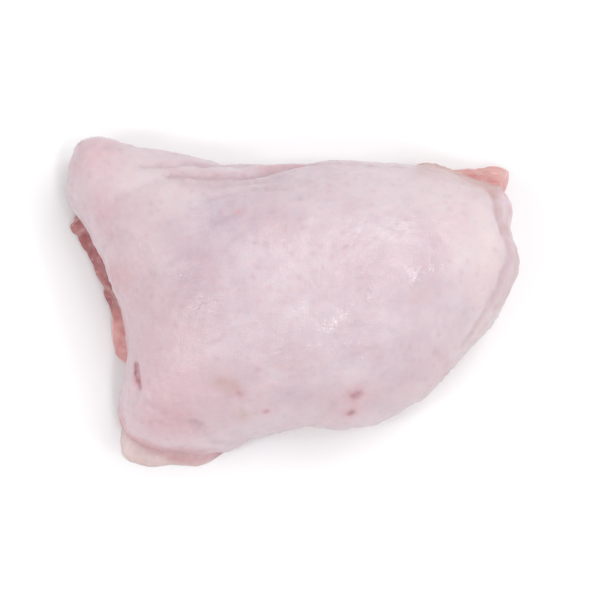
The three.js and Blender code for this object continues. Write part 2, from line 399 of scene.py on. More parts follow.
def to_follicle(flat):
    cell = np.floor(flat / FOLLICLE_STEP)
    nearest, strength = np.full(flat.shape[:-1], 99.0), np.zeros(flat.shape[:-1])
    for step in np.ndindex(3, 3):
        near = cell + step - 1
        place = near + 0.5 + 0.62 * np.stack([scramble(near, 1), scramble(near, 2)], axis=-1)
        far = np.linalg.norm(flat - place * FOLLICLE_STEP, axis=-1)
        strength = np.where(far < nearest, 0.5 + scramble(near, 3), strength)
        nearest = np.minimum(nearest, far)
    return nearest, strength


print("follicle every", FOLLICLE_STEP, "mm")

# %% Folds, hollows and lumps
THIN_LINE = 0.09


def folds_on(moved, grid, u):
    lifted = [([on_surface(spot, grid, u) for spot in path], depth, width)
              for path, depth, width in CREASES]
    return sum(depth * np.exp(-(distance_to_path(moved, path) / width) ** 2)
               for path, depth, width in lifted)


def hollows_on(moved, grid, u):
    middles = [(on_surface((x, y), grid, u), depth, reach) for x, y, depth, reach in HOLLOWS]
    return sum(depth * np.exp(-((moved - middle) ** 2).sum(axis=-1) / reach ** 2)
               for middle, depth, reach in middles)


def lumps_on(grid):
    return 0.42 * noise_on(grid, 15, 2, seed=2) + 0.17 * noise_on(grid, 5, 2, seed=3)


print("folds, hollows and lumps ready")


# %% Loose skin low on the sides
def between(u, begin, rising, end, falling):
    """A weight that rises at one station of the section and fades at another."""
    return smooth((u - begin) / rising) * (1 - smooth((u - end) / falling))


def gathers_on(grid, u):
    upright = grid * [1, 1, 0.16]
    gathers = 0.75 * between(u, 0.8, 0.35, 1.7, 0.3) * noise_on(upright, 7, 2, seed=4)
    ripples = noise_on(grid * [0.5, 1, 1], 2.4, 1, seed=5)
    gathers += 0.2 * smooth((u - 0.55) / 0.4) * ripples
    lines = np.exp(-(noise_on(grid * [1, 1, 1.6], 13, 3, seed=14) / THIN_LINE) ** 2)
    gathers -= (0.08 + 0.34 * smooth((u - 0.8) / 0.3)) * lines
    tucks = np.exp(-(noise_on(upright, 9, 2, seed=16) / 0.1) ** 2)
    return gathers - 0.8 * tucks * between(u, 1.1, 0.4, 1.85, 0.2)


print("gathers ready")


# %% Follicle mounds and their dark points
def follicles_on(grid, u):
    shaken = np.stack([noise_on(grid, 2.4, 1, seed) for seed in (18, 19)], axis=-1)
    nearest, strength = to_follicle(spread_flat(grid) + 0.35 * shaken)
    plump = np.clip(0.6 + 0.7 * noise_on(grid, 13, 2, seed=15), 0.1, 1.2)
    height = (0.17 + 0.1 * smooth((u - 0.6) / 0.4)) * (1 - smooth((u - 1.9) / 0.2))
    mounds = height * plump * np.exp(-(nearest / 0.85) ** 2)
    dots = np.exp(-(nearest / mix(0.45, 0.85, strength)) ** 2) * strength ** 2
    return mounds, dots


print("follicles ready")

# %% How far each point of the skin is pushed out
SUNK = 0.35


def relief(grid, u):
    moved = wandering(grid, 0.9, 11, 20)
    folds = folds_on(moved, grid, u)
    mounds, dots = follicles_on(grid, u)
    push = -folds * (0.8 + 0.5 * noise_on(grid, 12, 2, seed=22))
    push += lumps_on(grid) + gathers_on(grid, u) + mounds - hollows_on(moved, grid, u)
    over_flap = on_stretch(moved[..., :2], (*FLAP_ROOT, 6, 16))
    push += 1.9 * over_flap * np.exp(-((u - 1.12) / 0.28) ** 2)
    return push - SUNK, folds, dots


print("relief ready")

# %% [markdown]
# ## Building a mesh from rings
# A mesh that closes on itself is a solid: rings of quads down the outside and back up the
# inside, with a fan of triangles at each end. The relief may carry a point a hair beyond the
# sides of the part's box. The last millimetre before a side is squeezed, so that no point
# passes it and no flat spot shows.

# %% Keep above the floor and inside the sides
LOW_CORNER, HIGH_CORNER = np.array(part_box) / MM + np.array([[0.02], [-0.02]])
EASE = 0.8
FLOOR_GAP = 0.05


def above_floor(grid):
    grid[..., 2] = np.maximum(grid[..., 2], FLOOR_GAP)
    return grid


def squeezed(line, corner, sign):
    beyond = (line - corner) * sign + EASE
    return np.where(beyond > 0, corner + sign * EASE * (np.tanh(beyond / EASE) - 1), line)


print("sides of the box, mm:", LOW_CORNER[:2].round(1), HIGH_CORNER[:2].round(1))


# %% Rings to a mesh
def mesh_from_rings(name, pole_a, rings, pole_b):
    rows, around = rings.shape[:2]
    points = np.concatenate([[pole_a], rings.reshape(-1, 3), [pole_b]])
    points[:, :2] -= MIDDLE
    for k in (0, 1):
        for corner, sign in ((HIGH_CORNER[k], 1), (LOW_CORNER[k], -1)):
            points[:, k] = squeezed(points[:, k], corner, sign)
    index = 1 + np.arange(rows * around).reshape(rows, around)
    after = np.roll(index, -1, axis=1)
    quads = np.stack([index[:-1], after[:-1], after[1:], index[1:]], axis=-1).reshape(-1, 4)
    fan_a = [(0, b, a) for a, b in zip(index[0], after[0])]
    fan_b = [(len(points) - 1, a, b) for a, b in zip(index[-1], after[-1])]
    mesh = bpy.data.meshes.new(name)
    mesh.from_pydata((points * MM).tolist(), [], quads.tolist() + fan_a + fan_b)
    mesh.shade_smooth()
    mesh.update()
    piece = bpy.data.objects.new(name, mesh)
    bpy.context.scene.collection.objects.link(piece)
    return piece


def keep(piece, name, values):
    """Stores one number for each point, for the material to read."""
    layer = piece.data.attributes.new(name, "FLOAT", "POINT")
    layer.data.foreach_set("value", np.asarray(values, np.float32))


print("ready to build")

# %% [markdown]
# ## The skin
# The outside is a fine grid, because the light reads every small form on it. The inside is
# hidden, so a few rings do. Between them the hem gets a rounded nose: a cut edge of skin is
# never a sharp corner.

# %% The outside of the skin
SKIN_THICK = 2.2
SHOULDER = 0.85
DOME_ROWS, SIDE_ROWS, INNER_ROWS = 98, 74, 12


def stations_to(hem, dome_rows, side_rows):
    """The same stations in every column down to the shoulder, and then evenly to the hem."""
    dome = np.linspace(0, SHOULDER, dome_rows + 1)[1:, None] * np.ones(COLUMNS)
    side = mix(SHOULDER, hem, np.linspace(0, 1, side_rows + 1)[1:, None])
    return np.concatenate([dome, side])


outer_u = stations_to(skin_hem, DOME_ROWS, SIDE_ROWS)
plain = grid_of(outer_u)
out = normals_of(plain)
fade = 1 - smooth((outer_u - 1.85) / 0.25) * 0.8
push, folds, dots = relief(plain, outer_u)
lip = 1.4 * at_knee - 0.5 * at_side
push += lip * np.exp(-((skin_hem - outer_u) / (0.07 + 0.25 * at_side)) ** 2)
outer = above_floor(plain + out * (push * fade)[..., None])
print("outside of the skin:", outer.shape[:2], "points")

# %% The inside of the skin and its hem
inner_rows = np.linspace(len(outer) - 1, 3, INNER_ROWS).astype(int)
inner = above_floor(outer[inner_rows] - out[inner_rows] * SKIN_THICK)

last = outer[-1]
onward = last - outer[-4]
onward /= np.maximum(np.linalg.norm(onward, axis=1), 1e-6)[:, None]
thick_here = np.linalg.norm(last - inner[0], axis=1)[:, None]
nose = [mix(last, inner[0], across) + onward * thick_here * reach
        for across, reach in ((0.12, 0.22), (0.5, 0.38), (0.88, 0.22))]
nose = above_floor(np.stack(nose))

skin_rings = np.concatenate([outer, nose, inner])
crown_out = outer[0].mean(axis=0)
crown_in = inner[-1].mean(axis=0)
skin = mesh_from_rings("thigh_skin", crown_out, skin_rings, crown_in)
print("skin triangles:", sum(len(p.vertices) - 2 for p in skin.data.polygons))

# %% [markdown]
# ## The flesh
# The flesh is only seen below the hem, at the knee, along the hip side and underneath, so its
# rings are close together there. It swells out sideways past the hem, because meat that its
# skin no longer holds slumps. Fibres run along the thigh, and a few shallow furrows part the
# muscles.

# %% Stations of the flesh
KNEE_BULGE, SIDE_BULGE = 7.5, 7.8
PULLS = [((58.5, 29.0), 9.0, (2.6, 6.2)), ((51.0, 34.0), 5.0, (0.0, 1.4))]
HIDDEN_ROWS, FOOT_ROWS, BASE_ROWS = 24, 96, 20
WELL_UNDER, UNDER_SKIN = 6.0, SKIN_THICK + 0.35

hidden_u = stations_to(hem_plan, HIDDEN_ROWS // 2, HIDDEN_ROWS // 2)
foot_share = np.linspace(0, 1, FOOT_ROWS + 1)[1:, None]
foot_u = mix(hem_plan, FOOT_END, foot_share)
base_u = mix(FOOT_END, 3, np.linspace(0, 0.98, BASE_ROWS + 1)[1:, None]) * np.ones(COLUMNS)
flesh_u = np.concatenate([hidden_u, foot_u, base_u])
body = grid_of(flesh_u)
body_out = normals_of(body)
print("flesh stations:", len(flesh_u))

# %% How deep the flesh lies, and how far it bulges
hidden_share = np.linspace(0, 1, HIDDEN_ROWS + 1)[1:, None]
no_base = np.zeros((BASE_ROWS, 1))
depth = np.concatenate([mix(WELL_UNDER, UNDER_SKIN, smooth((hidden_share - 0.75) / 0.25)),
                        UNDER_SKIN * (1 - smooth(foot_share * 1.6)), no_base])
uneven = 1 + 0.2 * noise_on(ring_line, 8, 2, seed=17)
bulge = KNEE_BULGE * at_knee + SIDE_BULGE * on_stretch(edge, SIDE_SWELL) * uneven
tip_rows = np.concatenate([0 * hidden_share, np.sin(math.pi * foot_share), no_base])
flesh_grid = body - body_out * depth[..., None]
flesh_grid[..., :2] += outward_at(columns) * (bulge * tip_rows)[..., None]
for place, wide, pull in PULLS:
    weight = np.exp(-(np.linalg.norm(edge - place, axis=1) / wide) ** 2)
    flesh_grid[..., :2] += (tip_rows * weight)[..., None] * pull
print("flesh grid:", flesh_grid.shape[:2], "points")

# %% Furrows and fibres in the flesh
bare = np.concatenate([np.zeros(hidden_u.shape), smooth(foot_share * 5) * np.ones(COLUMNS),
                       np.ones(base_u.shape)])
fibre_space = np.stack([flesh_grid[..., 0] * 0.12, flesh_grid[..., 1] * 0.8,
                        flesh_grid[..., 2] * 1.3], axis=-1)
furrows = noise_on(flesh_grid, 11, 2, seed=6)
fibres = noise_on(fibre_space, 1.5, 2, seed=7)
strands = noise_on(fibre_space, 3.2, 2, seed=13)
grain = bare * (0.5 * furrows - 0.6 * np.exp(-(furrows / THIN_LINE) ** 2) + 0.2 * fibres
                + 0.3 * strands - 0.5)
flesh_grid = above_floor(flesh_grid + normals_of(flesh_grid) * grain[..., None])
flesh = mesh_from_rings("thigh_flesh", flesh_grid[0].mean(axis=0), flesh_grid,
                        flesh_grid[-1].mean(axis=0))
print("flesh triangles:", sum(len(p.vertices) - 2 for p in flesh.data.polygons))

# %% [markdown]
# ## The flap
# At the near hip corner the skin was cut with some to spare, and it lies on the floor as a
# small soft flap. It is a sheet of its own: a curve in plan for its rim, and rings that step
# in from the rim towards a line under the thigh. Its top rises over a rounded rim, its
# underside is flat, and the thigh bulges over its root in a crease.

# %% The flap
FLAP_RIM = np.array([
    [-42, -20], [-38, -25], [-28, -31], [-18, -33], [-15.5, -37.6], [-19.5, -41.6],
    [-22.6, -43.8], [-26, -45.6], [-30, -45.9], [-35, -45.5], [-40, -46.1], [-44.6, -45.2],
    [-47.8, -43.2], [-48.9, -39.5], [-48.4, -34], [-47.9, -28], [-46.9, -22],
])
FLAP_CREASE = [[-47.2, -33.5], [-45.8, -36], [-44.1, -38.6], [-40.7, -41.2],
               [-35.5, -42.8], [-27.6, -43.7], [-22, -42.4]]
FLAP_LINE = [[-35.6, -44.0], [-33, -44.4], [-29.8, -44.8]]
FLAP_MIDLINE = (np.array([-42.5, -27.0]), np.array([-20.0, -36.5]))
FLAP_COLUMNS = 240
inward = np.array([0, 0.12, 0.35, 0.7, 1.1, 1.6, 2.2, 2.9, 3.7, 4.6, 5.6, 6.8, 8.2, 10.0])


def closed_curve(points, t):
    step = t * len(points)
    i = np.floor(step).astype(int)
    w = (step - i)[:, None]
    a, b, c, d = (points[(i + k) % len(points)] for k in (-1, 0, 1, 2))
    return 0.5 * (2 * b + (c - a) * w + (2 * a - 5 * b + 4 * c - d) * w ** 2
                  + (3 * b - a - 3 * c + d) * w ** 3)


rim = closed_curve(FLAP_RIM, np.arange(FLAP_COLUMNS) / FLAP_COLUMNS)
rim += 0.25 * noise_on(np.column_stack([rim, np.zeros(len(rim))]), 3, 2, seed=8)[:, None]
start, along = FLAP_MIDLINE[0], FLAP_MIDLINE[1] - FLAP_MIDLINE[0]
t = np.clip(((rim - start) @ along) / (along @ along), 0, 1)[:, None]
root = start + t * along
reach = np.linalg.norm(root - rim, axis=1)
print("flap, mm:", (rim.max(axis=0) - rim.min(axis=0)).round(1))

# %% The flap's top and underside
NEARLY_ROOT = 0.97
share = inward[:, None] / np.maximum(reach, inward[-1] / NEARLY_ROOT)
flap_plan = rim + (root - rim) * share[..., None]
stepped = share * reach
rise = np.sqrt(np.clip(1 - (1 - np.minimum(stepped / 1.2, 1)) ** 2, 0, 1))
seen = on_stretch(rim, ([-47, -38], [-27, -44.5], 3, 13))
thick = mix(0.5, 1.0, seen) + mix(0.15, 0.55, seen) * np.minimum(stepped, 6)
flap_top = np.concatenate([flap_plan, np.zeros((*share.shape, 1))], axis=2)
around_rim = np.stack([rim[:, 0], rim[:, 1], np.zeros(FLAP_COLUMNS)], axis=1)
ripple = noise_on(around_rim, 3.6, 2, seed=9)[None] * 0.7 * np.exp(-stepped / 9)
ripple += noise_on(flap_top, 6, 2, seed=11) * 0.3 + noise_on(flap_top, 1.6, 2, seed=10) * 0.1
flap_top[..., 2] = 2 * FLOOR_GAP + rise * (thick + ripple)
flap_bottom = flap_top * [1, 1, 0] + [0, 0, FLOOR_GAP]
flap_rings = np.concatenate([flap_top[::-1], flap_bottom[1:]])
flap = mesh_from_rings("thigh_flap", flap_top[-1].mean(axis=0), flap_rings,
                       flap_bottom[-1].mean(axis=0))
print("flap height, mm:", flap_top[..., 2].max().round(1))

# %% [markdown]
# ## Tints
# The skin is nearly white, and what lies under it gives the colour: rosy where it is thin over
# red meat, a cool mauve over dark muscle, cream where fat lies under it. Some rosy rows are
# painted shade instead, where the creases run into the far edge. A few soft patches of each are
# stored with the points, and the material breaks them up with its own noise. Each row is a spot
# in plan, how far the patch reaches and how strong it is.

# %% Where the skin is rosy, with some painted shade, and where it is mauve
ROSY_AND_SHADE = [
    (-39, -18, 16, 0.5), (-48, 4, 10, 0.55), (-16, -31, 11, 0.25), (14, -33, 7, 0.4),
    (-50.5, 3, 4, 0.8), (-48.5, -8, 4, 0.8), (-47.5, -14, 4, 0.7),
    (-36, -37, 9, 0.7), (-57, 38, 9, 0.55), (38, -24, 10, 0.3), (-50, -30, 8, 0.45),
    (-54, 20, 7, 0.45), (-28, 1, 8, 0.2), (-5, 12, 9, 0.15), (50, 29.8, 2.6, 0.8),
    (54, 28.2, 2.6, 0.9), (58.2, 27.6, 2.2, 0.9), (59.5, 22, 2, 0.5),
    # Painted shade: (-5, 35.5) on the next line, and the whole last row, darken the far edge where
    # the creases end.
    (-5, 35.5, 5, 0.6), (60, 22, 3, 0.5), (62, 10, 3, 0.4), (-17.5, 18.2, 1.5, 0.9),
    (48, 31.2, 1.8, 0.7), (52, 30, 1.8, 0.8), (56.5, 28.6, 2, 0.8), (59.8, 27.5, 2, 0.6),
    (-9.5, 34.6, 2.2, 0.9), (-6, 35.6, 2.2, 0.7), (1.5, 35.8, 2.4, 0.6),
]
MAUVE = [
    (-20.5, 17.8, 1.6, 0.7), (-24.5, 14.5, 1.6, 0.6), (-10, 18.5, 1.6, 0.4), (-30, -36, 1.6, 0.9),
    (-13.8, 8.6, 0.9, 0.7), (-21, -30, 2.5, 0.4), (-3, -31, 5, 0.4), (24, 14, 0.8, 0.8),
    (-24, 12, 13, 0.55), (-22, 19, 6, 0.5), (8, -10, 15, 0.3), (30, -2, 12, 0.3),
    (-30, -4, 11, 0.45), (-4, 24, 12, 0.2), (24, -24, 12, 0.35), (-20, -22, 12, 0.3),
    (44, -10, 7, 0.3), (-8, 31, 9, 0.3), (-32, 2, 7, 0.35), (-18, -8, 8, 0.25),
]
print("rosy:", len(ROSY_AND_SHADE), "mauve:", len(MAUVE))

# %% Where fat shows as cream, and dried or thin skin as amber, partly painted shade
CREAM = [
    (50.8, 20, 4, 0.45), (52.6, 12.5, 4, 0.7), (51, 4, 4.5, 0.7), (48, -4, 4, 0.5),
    (42, 34.5, 4, 0.5), (-47, 31, 10, 0.25), (-43, 12, 7, 0.25), (-34, 24, 7, 0.3),
    (30, -30, 6, 0.25), (45, 10, 9, 0.4), (40, 24, 8, 0.3), (48, -12, 6, 0.4),
]
AMBER_AND_SHADE = [
    # Partly painted shade: the first two rows darken the knee rim, and the fourth and fifth the
    # band where the right margin turns down.
    (42, 36.2, 1.9, 1), (45.6, 34.6, 2.1, 1), (49.3, 33, 2.1, 1), (52.9, 31.6, 2.1, 1),
    (56, 30.4, 2, 1), (58.8, 29.4, 1.6, 0.9), (54.6, 26, 1.8, 0.8), (55.4, 21.6, 1.8, 0.9),
    (-22.5, -27.6, 2.4, 0.9), (-19.6, -29, 2, 0.8), (-16.7, -35.2, 2.4, 0.8), (-12, -34, 1.8, 0.4),
    (58, 16.8, 2.2, 0.8), (60.5, 10.5, 2.6, 0.75), (60.5, 5.5, 2.8, 0.75), (58, -0.5, 2.8, 0.7),
    (54.5, -5.5, 2.6, 0.6), (50.8, -10.5, 2.4, 0.5), (47, -15.5, 2.2, 0.45), (58.4, 20, 1.8, 0.5),
    (30, -6, 2.4, 0.3), (-46, -43, 3, 0.5),
]
print("cream:", len(CREAM), "amber:", len(AMBER_AND_SHADE))


# %% Store the patches
def patches(points, table, seed):
    moved = wandering(points, 1.2, 6, seed)
    total = np.zeros(len(points))
    for x, y, reach, amount in table:
        away = moved - on_surface((x, y), outer, outer_u)
        total += amount * np.exp(-(away ** 2).sum(axis=1) / reach ** 2)
    return np.clip(total, 0, 1)


skin_points = np.concatenate([[crown_out], skin_rings.reshape(-1, 3), [crown_in]])
# Painted shade: a rosy darkening in the crease where the thigh bulges over the flap, fading higher
# up and towards the knee.
shade_over_crease = np.exp(-(distance_to_path(skin_points[:, :2], FLAP_CREASE) / 2.8) ** 2)
shade_over_crease *= smooth((12 - skin_points[:, 2]) / 6) * smooth((-18 - skin_points[:, 0]) / 13)
rosy_and_shade = np.clip(patches(skin_points, ROSY_AND_SHADE, 30) + shade_over_crease, 0, 1)
keep(skin, "rosy_and_shade", rosy_and_shade)
for name, table, seed in (("mauve", MAUVE, 32), ("cream", CREAM, 34), ("amber_and_shade", AMBER_AND_SHADE, 40)):
    keep(skin, name, patches(skin_points, table, seed))
print("rosiest point:", rosy_and_shade.max().round(2))

# %% Blood spots and a slit, each with a pale halo
HALO = 2.6
SPOTS = [
    ([[12.9, -30.9], [14.0, -30.3]], 1.1, 0.75), ([[12.3, -35.0], [13.2, -34.6]], 1.0, 0.75),
    ([[-45.2, -20.8], [-44.9, -22.4]], 0.85, 0.85), ([[-44.9, -22.4], [-44.5, -25]], 0.6, 0.75),
    ([[-44.5, -25], [-44.2, -27]], 0.55, 0.6), ([[-10.7, -34.3], [-10.2, -34]], 0.7, 0.5),
    ([[-18.1, -30], [-17.6, -30.4]], 0.7, 0.5), ([[-60, 42.6], [-59.4, 43.2]], 0.6, 0.3),
]
spot_points = wandering(skin_points, 0.35, 3.5, 36)
spots, halo = np.zeros(len(skin_points)), np.zeros(len(skin_points))
for ends, width, amount in SPOTS:
    start, end = (on_surface(spot, outer, outer_u) for spot in ends)
    far = distance_to_line(spot_points, start, end)
    spots += amount * np.exp(-(far / width) ** 2)
    halo += amount * np.exp(-(far / (width * HALO)) ** 2)
keep(skin, "spots", np.clip(spots, 0, 1))
keep(skin, "halo", np.clip(halo, 0, 1))
print("spots:", len(SPOTS))

# %% Wet patches, which carry the small glints
WET = [
    (-27.5, -8.6, 2.2, 1), (28.3, -1, 2.4, 1), (17, -6.6, 2.4, 1), (6.4, -14.2, 3.2, 1),
    (-42.5, 10, 3, 0.8), (28, 15, 3, 0.5), (-6, -20, 5, 0.3), (-21, 7, 2, 0.5), (34, 3, 3, 0.5),
]
keep(skin, "wet", patches(skin_points, WET, 38))
print("wet patches:", len(WET))

# %% [markdown]
# ## The flat map, kept for the material
# The material draws a fine net of wrinkles on the same flat map as the follicles, so the map
# is stored with the points.

# %% Keep the flat map
spread = spread_flat(plain)
spread_all = np.concatenate([spread, np.repeat(spread[-1:], len(nose), axis=0),
                             spread[inner_rows]])
spread_all = np.concatenate([[CROWN], spread_all.reshape(-1, 2), [CROWN]])


def keep_map(piece, plan):
    layer = piece.data.attributes.new("skin_map", "FLOAT_VECTOR", "POINT")
    flat = np.column_stack([plan, np.zeros(len(plan))]).astype(np.float32)
    layer.data.foreach_set("vector", flat.ravel())


keep_map(skin, spread_all)
print("flat map, mm:", np.ptp(spread_all, axis=0).round())

# %% [markdown]
# ## What each point is
# The material also has to know which side of the sheet a point is on, how near the cut it is,
# whether it lies in a fold, and how strong the follicle there is. The grids know all of that.
# A mesh holds its points in one long row: a pole, the outside, the rounded hem, the inside and
# the other pole. A small helper lays the values out in the same order.

# %% Lay values out as the skin's mesh has its points
def for_skin(outside, hem=0.0, inside=0.0, last_pole=0.0):
    parts = ((outside, outer), (hem, nose), (inside, inner))
    rings = [(values * np.ones(grid.shape[:2])).ravel() for values, grid in parts]
    return np.concatenate([[0], *rings, [last_pole]])


hem_sides = np.array([[0.25], [0.6], [0.9]])
keep(skin, "inside", for_skin(0.0, hem_sides, 1.0, last_pole=1.0))
# Painted shade: the deeper a crease, the darker the material makes it.
keep(skin, "fold_shade", for_skin(np.clip(folds / 1.5, 0, 1)))
keep(skin, "follicle", for_skin(dots))
print("points of the skin:", len(skin.data.vertices))

# %% How near the hem, and where fat lies low on the sides
to_hem = skin_hem - outer_u
hem_band = 0.12 + 0.12 * at_knee
near_hem = np.exp(-(to_hem / hem_band) ** 2)
keep(skin, "near_hem", for_skin(near_hem, 1.0, near_hem[inner_rows]))
keep(skin, "low_fat", for_skin(np.exp(-((outer_u - 1.75) / 0.32) ** 2)))
print("near the hem:", int((near_hem > 0.5).sum()), "points")

# %% The flap's own tints
flap_depth = np.concatenate([stepped[::-1], stepped[1:]])
rim_glow = np.exp(-(flap_depth / 1.4) ** 2)
flap_points = np.concatenate([flap_rings[:1, 0], flap_rings.reshape(-1, 3), flap_rings[-1:, 0]])
to_crease = distance_to_path(flap_points[:, :2], FLAP_CREASE)
to_line = distance_to_path(flap_points[:, :2], FLAP_LINE)
flap_clouds = noise_on(flap_points, 5, 2, seed=12)
# Painted shade: rosier and darker along the crease where the thigh bulges over the flap, and along
# a small crease line on it.
crease_shade = np.exp(-(to_crease / 1.9) ** 2) + 0.7 * np.exp(-(to_line / 0.7) ** 2)
keep(flap, "near_hem", np.concatenate([[0], 0.35 * rim_glow.ravel(), [0]]))
keep(flap, "rosy_and_shade", np.clip(0.4 + 0.5 * flap_clouds + 0.8 * crease_shade, 0, 1))
keep(flap, "cream", np.clip(0.95 - 0.4 * flap_clouds - 1.2 * crease_shade, 0, 1))
keep(flap, "amber_and_shade", np.clip(0.1 - 0.5 * flap_clouds, 0, 1) + 0.1 * crease_shade)
keep_map(flap, flap_points[:, :2])
print("flushed points of the flap:", int((crease_shade > 0.5).sum()))


# %% Bare flesh, its painted shade down the hip side, and a pale film
def for_flesh(values, last_pole=0.0):
    rings = (values * np.ones(flesh_u.shape)).ravel()
    return np.concatenate([[0], rings, [last_pole]])


# Painted shade: the bare flesh down the hip side is darkened to a deep red.
SIDE_SHADE = ([-61, 27], [-52, 4], 3, 11)
FILM_AT, FILM_REACH = [64, 35.5], 2.6
keep(flesh, "bare", for_flesh(bare, last_pole=1.0))
keep(flesh, "furrow", for_flesh(np.exp(-(furrows / 0.12) ** 2) * bare))
keep(flesh, "side_shade", for_flesh(on_stretch(edge, SIDE_SHADE)))
flesh_points = np.concatenate([flesh_grid[:1, 0], flesh_grid.reshape(-1, 3), flesh_grid[-1:, 0]])
to_film = np.linalg.norm(flesh_points[:, :2] - FILM_AT, axis=1)
keep(flesh, "film", np.exp(-(to_film / FILM_REACH) ** 2))
print("points of the flesh:", len(flesh_points))

# %% [markdown]
# ## Materials
# Both materials use the Principled shader, with light scattered below the surface: red light
# goes furthest in flesh, so thin places glow. Colours are written as they would be read from
# a screen, and turned into the linear values that the shader works with.

# %% Small helpers for node materials
def linear(r, g, b):
    return tuple(((c / 255 + 0.055) / 1.055) ** 2.4 for c in (r, g, b)) + (1,)


def node(tree, kind, **settings):
    made = tree.nodes.new(kind)
    for key, value in settings.items():
        if key in made.inputs:
            made.inputs[key].default_value = value
        else:
            setattr(made, key, value)
    return made


def read_point(tree, name):
    return node(tree, "ShaderNodeAttribute", attribute_name=name).outputs["Fac"]


print("white as linear:", linear(255, 255, 255))


# %% Small sums and mixes of colour
def calculate(tree, operation, a, b):
    made = node(tree, "ShaderNodeMath", operation=operation)
    for socket, value in zip(made.inputs, (a, b)):
        if isinstance(value, (int, float)):
            socket.default_value = value
        else:
            tree.links.new(value, socket)
    return made.outputs[0]


def tint(tree, under, colour, amount):
    made = node(tree, "ShaderNodeMix", data_type="RGBA")
    tree.links.new(amount, made.inputs[0])
    if isinstance(under, tuple):
        made.inputs[6].default_value = under
    else:
        tree.links.new(under, made.inputs[6])
    made.inputs[7].default_value = colour
    return made.outputs[2]


def add_up(tree, layers):
    """Adds textures up, each times its share."""
    total = 0.0
    for texture, share in layers:
        total = calculate(tree, "ADD", total, calculate(tree, "MULTIPLY", texture, share))
    return total


print("sums and mixes ready")

# %% Textures in the part's own space
def noise_texture(tree, size_mm, detail=3, stretch=(1, 1, 1), distortion=0.0):
    place = node(tree, "ShaderNodeTexCoord")
    scaled = node(tree, "ShaderNodeMapping")
    scaled.inputs["Scale"].default_value = [v / (size_mm * MM) for v in stretch]
    tree.links.new(place.outputs["Object"], scaled.inputs["Vector"])
    made = node(tree, "ShaderNodeTexNoise", Scale=1.0, Detail=detail, Roughness=0.55,
                Distortion=distortion)
    tree.links.new(scaled.outputs[0], made.inputs["Vector"])
    return made.outputs["Fac"]


def ramp(tree, value, low, high, to_low=0.0, to_high=1.0):
    made = node(tree, "ShaderNodeMapRange", interpolation_type="SMOOTHSTEP")
    for key, number in zip(("From Min", "From Max", "To Min", "To Max"),
                           (low, high, to_low, to_high)):
        made.inputs[key].default_value = number
    tree.links.new(value, made.inputs["Value"])
    return made.outputs["Result"]


def start_material(name):
    material = bpy.data.materials.new(name)
    material.use_nodes = True
    return material, material.node_tree, material.node_tree.nodes["Principled BSDF"]


print("textures ready")

# %% [markdown]
# ## The skin's colour
# Plucked skin is nearly white with a cool blush. Over that ground the stored patches are laid
# one by one, like thin glazes, each broken up by a noise so that it has no clean edge. Some
# glazes are painted shade: the darkening in the folds, and part of the rosy and amber ones. The
# last glaze is the darker point in each follicle: the mesh already knows where the follicles are,
# so their points and their mounds agree.

# %% Skin colour
skin_material, tree, shader = start_material("poultry_skin")
clouds = noise_texture(tree, 16, 3)
mottle = noise_texture(tree, 4.5, 4)
speckle = noise_texture(tree, 1.6, 3)
PALE, BLUSH = linear(220, 204, 210), linear(212, 190, 197)
colour = tint(tree, PALE, BLUSH, ramp(tree, clouds, 0.3, 0.7))
colour = tint(tree, colour, linear(208, 188, 198), ramp(tree, mottle, 0.45, 0.75, 0.0, 0.45))
print("skin ground layers: 3")


# %% Tints where something lies under the skin, and painted shade
def blot(colour, shade, mask, broken_by, least, most):
    amount = calculate(tree, "MULTIPLY", read_point(tree, mask),
                       ramp(tree, broken_by, 0.3, 0.7, least, most))
    return tint(tree, colour, shade, amount)


colour = blot(colour, linear(190, 171, 183), "mauve", mottle, 0.45, 0.95)
# The rosy glaze. Along the far edge and over the flap's crease it is painted shade.
colour = blot(colour, linear(210, 166, 172), "rosy_and_shade", speckle, 0.55, 0.95)
colour = blot(colour, linear(224, 201, 184), "low_fat", clouds, 0.0, 0.85)
# Painted shade in the creases, a greyer pink the deeper they are.
colour = blot(colour, linear(190, 160, 167), "fold_shade", speckle, 0.4, 0.7)
colour = blot(colour, linear(235, 218, 216), "cream", mottle, 0.6, 0.9)
# Amber where skin is dried or thin, and painted shade along the knee rim and the right margin.
colour = blot(colour, linear(194, 161, 152), "amber_and_shade", mottle, 0.5, 0.85)
colour = blot(colour, linear(190, 150, 142), "near_hem", speckle, 0.6, 0.9)
colour = blot(colour, linear(236, 216, 200), "inside", speckle, 0.8, 1.0)
colour = blot(colour, linear(214, 162, 170), "halo", speckle, 0.4, 0.7)
colour = blot(colour, linear(158, 104, 116), "spots", speckle, 0.6, 0.95)
print("tints: 10")

# %% Follicles, a little darker than the skin between them
patchy = ramp(tree, noise_texture(tree, 12, 2), 0.35, 0.65, 0.1, 0.34)
colour = tint(tree, colour, linear(184, 148, 158), calculate(
    tree, "MULTIPLY", read_point(tree, "follicle"), patchy))
tree.links.new(colour, shader.inputs["Base Color"])
print("colour layers linked")

# %% [markdown]
# ## The skin's surface
# The smallest forms are bumps: a fine net of wrinkles that crosses the skin between the
# follicles, drawn with the edges of Voronoi cells on the flat map, and a grain. The skin is wet,
# so a thin clear coat carries the bright glints. The water lies thicker in some patches. There
# the surface is beaded but glossier, and that breaks a lamp's reflection into sparks.

